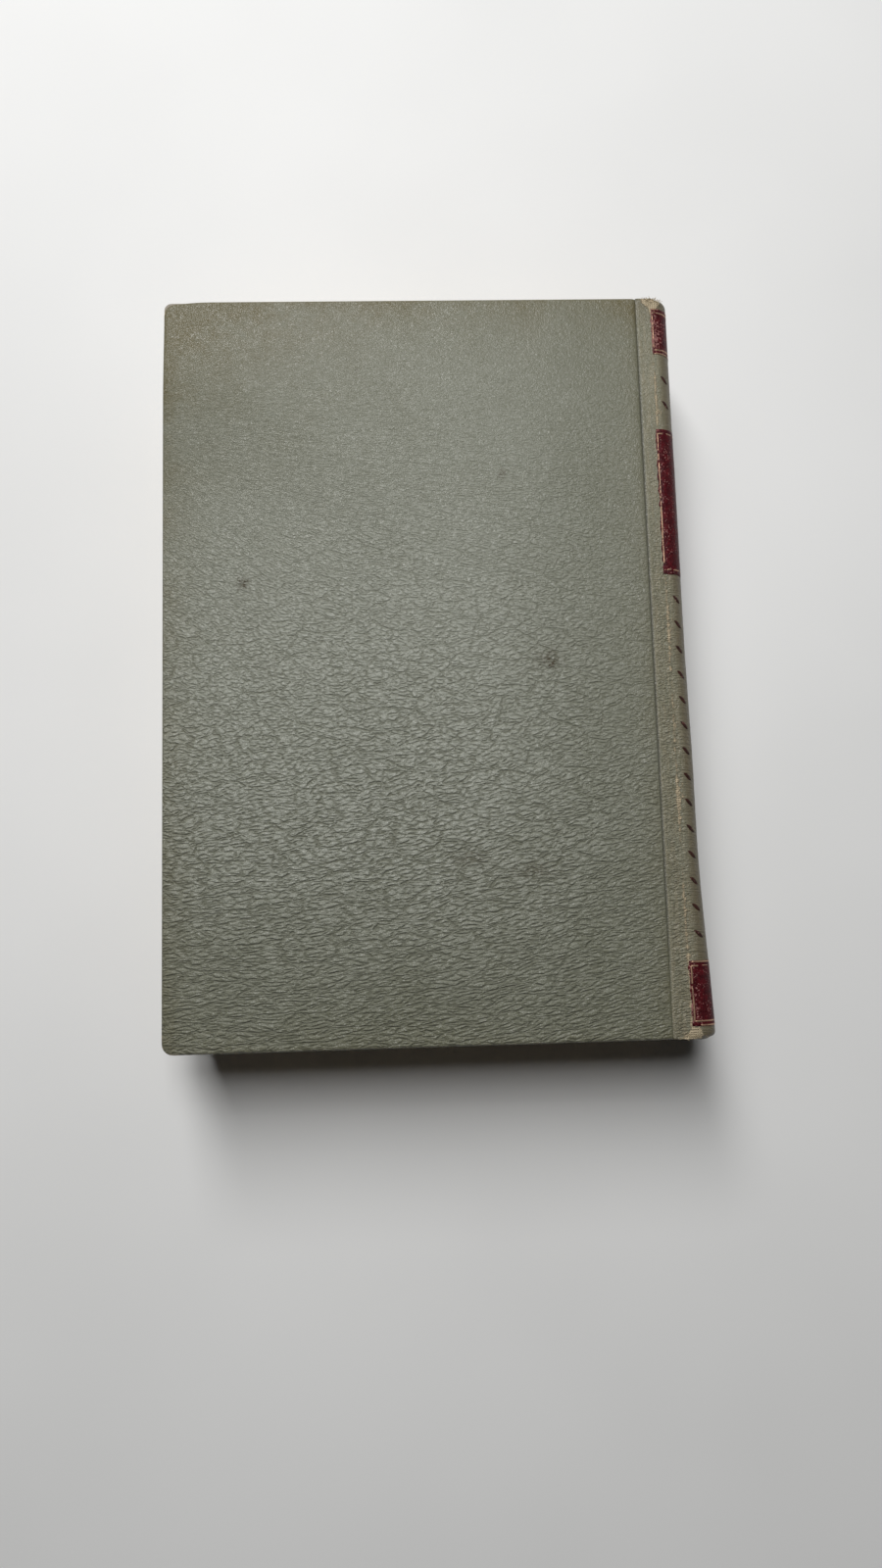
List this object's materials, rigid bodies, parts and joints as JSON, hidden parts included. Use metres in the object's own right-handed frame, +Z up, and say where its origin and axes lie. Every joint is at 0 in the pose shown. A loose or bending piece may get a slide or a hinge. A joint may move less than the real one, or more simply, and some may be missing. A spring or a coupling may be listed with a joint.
{
  "type": "hardback book",
  "caption": "Sewn hardback book in grey-green leatherette with red spine panels; covers, flyleaves and outer leaves swing open on the hinge grooves.",
  "frame": {"origin": "under the middle of the closed book, on the plane of the front cover's outer face", "axes": "+X towards the spine, +Y towards the head, +Z up through the back cover"},
  "size_m": [0.1466, 0.21, 0.038],
  "materials": {
    "leatherette": "grey-green pebbled leatherette, satin, toned brown at the edges",
    "red_panel": "dark red blocked panel, worn",
    "gilt": "dulled gilt foil",
    "greyboard": "raw greyboard",
    "endpaper": "aged cream paper, matt",
    "text_paper": "aged cream paper, matt, browned at the edges",
    "lining_paper": "brown paper, matt",
    "mull": "open-weave starched cotton",
    "thread": "linen thread",
    "band_cloth": "striped cotton band, faded"
  },
  "bodies": {
    "text_block": {"section_04": "text_paper", "section_05": "text_paper", "section_06": "text_paper", "section_07": "text_paper", "section_08": "text_paper", "section_09": "text_paper", "section_10": "text_paper", "section_11": "text_paper", "section_12": "text_paper", "section_13": "text_paper", "section_14": "text_paper", "section_15": "text_paper", "back_shoulder_folds": "text_paper", "front_shoulder_folds": "text_paper", "sewing_thread": "thread", "mull": "mull", "spine_lining": "lining_paper", "head_band": "band_cloth", "tail_band": "band_cloth", "spine_inlay": "greyboard", "spine_covering": "leatherette", "head_panel": "red_panel", "title_panel": "red_panel", "tail_panel": "red_panel", "gilt_rules": "gilt"},
    "back_cover": {"back_covering": "leatherette", "back_board": "greyboard", "back_mull_flange": "mull", "back_pastedown": "endpaper"},
    "back_flyleaf": {"back_flyleaf": "endpaper"},
    "back_leaves_1": {"section_18_leaves": "text_paper"},
    "back_leaves_2": {"section_17_leaves": "text_paper"},
    "back_leaves_3": {"section_16_leaves": "text_paper"},
    "front_cover": {"front_covering": "leatherette", "front_board": "greyboard", "front_mull_flange": "mull", "front_pastedown": "endpaper"},
    "front_flyleaf": {"front_flyleaf": "endpaper"},
    "front_leaves_1": {"section_01_leaves": "text_paper"},
    "front_leaves_2": {"section_02_leaves": "text_paper"},
    "front_leaves_3": {"section_03_leaves": "text_paper"}
  },
  "joints": [
    {"name": "back_cover_hinge", "type": "hinge", "parent": "text_block", "child": "back_cover", "pos_m": [0.06115, 0, 0.03802], "axis": [0, 1, 0], "range_deg": [0, 175]},
    {"name": "back_flyleaf_turn", "type": "hinge", "parent": "text_block", "child": "back_flyleaf", "pos_m": [0.06115, 0, 0.03802], "axis": [0, 1, 0], "range_deg": [0, 161.5]},
    {"name": "back_leaves_1_turn", "type": "hinge", "parent": "text_block", "child": "back_leaves_1", "pos_m": [0.06115, 0, 0.03802], "axis": [0, 1, 0], "range_deg": [0, 131.75]},
    {"name": "back_leaves_2_turn", "type": "hinge", "parent": "text_block", "child": "back_leaves_2", "pos_m": [0.06115, 0, 0.03802], "axis": [0, 1, 0], "range_deg": [0, 88]},
    {"name": "back_leaves_3_turn", "type": "hinge", "parent": "text_block", "child": "back_leaves_3", "pos_m": [0.06115, 0, 0.03802], "axis": [0, 1, 0], "range_deg": [0, 44.25]},
    {"name": "front_cover_hinge", "type": "hinge", "parent": "text_block", "child": "front_cover", "pos_m": [0.06115, 0, 0], "axis": [0, -1, 0], "range_deg": [0, 175]},
    {"name": "front_flyleaf_turn", "type": "hinge", "parent": "text_block", "child": "front_flyleaf", "pos_m": [0.06115, 0, 0], "axis": [0, -1, 0], "range_deg": [0, 161.5]},
    {"name": "front_leaves_1_turn", "type": "hinge", "parent": "text_block", "child": "front_leaves_1", "pos_m": [0.06115, 0, 0], "axis": [0, -1, 0], "range_deg": [0, 131.75]},
    {"name": "front_leaves_2_turn", "type": "hinge", "parent": "text_block", "child": "front_leaves_2", "pos_m": [0.06115, 0, 0], "axis": [0, -1, 0], "range_deg": [0, 88]},
    {"name": "front_leaves_3_turn", "type": "hinge", "parent": "text_block", "child": "front_leaves_3", "pos_m": [0.06115, 0, 0], "axis": [0, -1, 0], "range_deg": [0, 44.25]}
  ],
  "couplings": [
    {"joint": "back_flyleaf_turn", "follows": "back_cover_hinge", "ratio": 0.92},
    {"joint": "back_leaves_1_turn", "follows": "back_cover_hinge", "ratio": 0.75},
    {"joint": "back_leaves_2_turn", "follows": "back_cover_hinge", "ratio": 0.5},
    {"joint": "back_leaves_3_turn", "follows": "back_cover_hinge", "ratio": 0.25},
    {"joint": "front_flyleaf_turn", "follows": "front_cover_hinge", "ratio": 0.92},
    {"joint": "front_leaves_1_turn", "follows": "front_cover_hinge", "ratio": 0.75},
    {"joint": "front_leaves_2_turn", "follows": "front_cover_hinge", "ratio": 0.5},
    {"joint": "front_leaves_3_turn", "follows": "front_cover_hinge", "ratio": 0.25}
  ]
}
